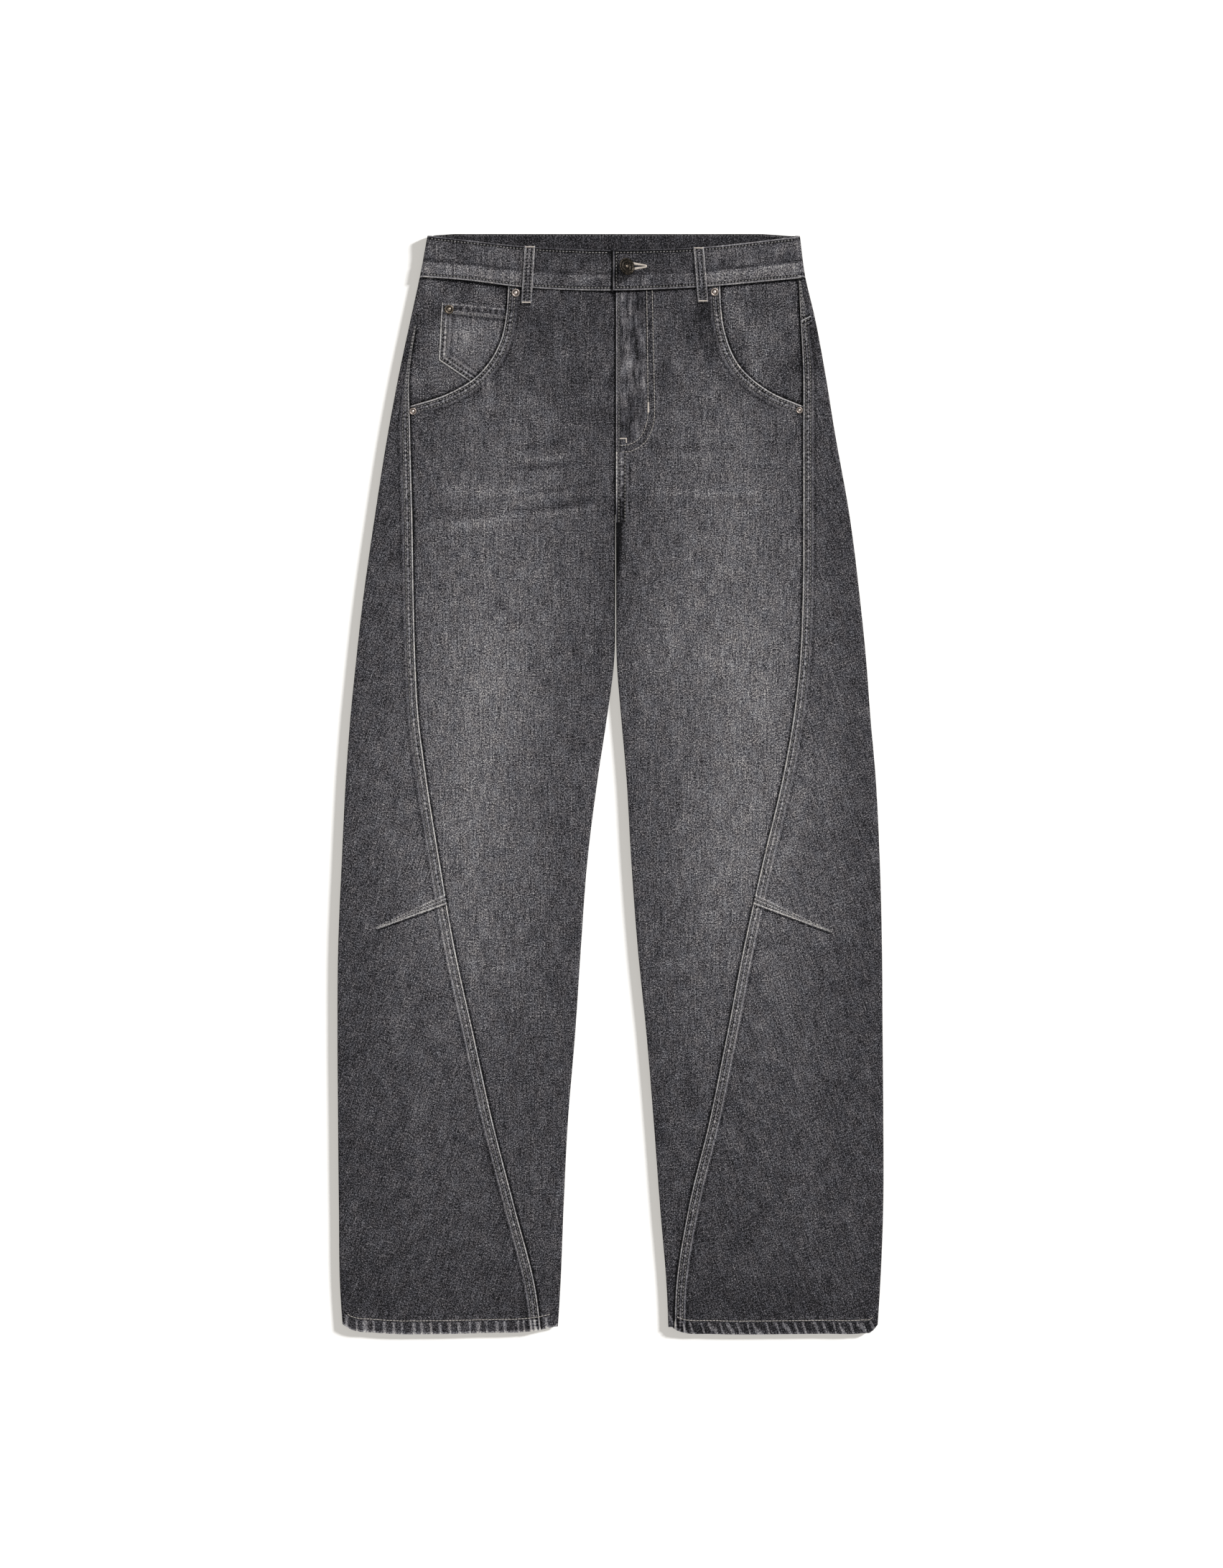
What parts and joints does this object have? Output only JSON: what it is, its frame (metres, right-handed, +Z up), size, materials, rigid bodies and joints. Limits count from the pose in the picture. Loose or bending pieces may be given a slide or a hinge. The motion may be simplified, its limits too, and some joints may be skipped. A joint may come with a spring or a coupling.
{
  "type": "barrel leg trousers",
  "caption": "Barrel leg denim trousers laid flat, front up, with forward swept outseams, knee darts, scoop pockets and a buttoned waistband.",
  "frame": {"origin": "on the table, under the middle of the garment's outline", "axes": "+Y to the waist, +Z up out of the front, so +X to the wearer's left"},
  "size_m": [0.5222, 1.0518, 0.0184],
  "materials": {
    "denim": "stone-washed grey twill",
    "button_metal": "dark antique brass",
    "rivet_metal": "worn copper"
  },
  "bodies": {
    "root": {"back_right": "denim", "back_left": "denim", "yoke_right": "denim", "yoke_left": "denim", "front_right": "denim", "front_left": "denim", "facing_right": "denim", "facing_left": "denim", "coin_pocket": "denim", "waistband": "denim", "belt_loop_right": "denim", "belt_loop_left": "denim", "button": "button_metal", "rivet_scoop_top_right": "rivet_metal", "rivet_scoop_end_right": "rivet_metal", "rivet_coin": "rivet_metal", "rivet_scoop_top_left": "rivet_metal", "rivet_scoop_end_left": "rivet_metal"}
  },
  "joints": []
}
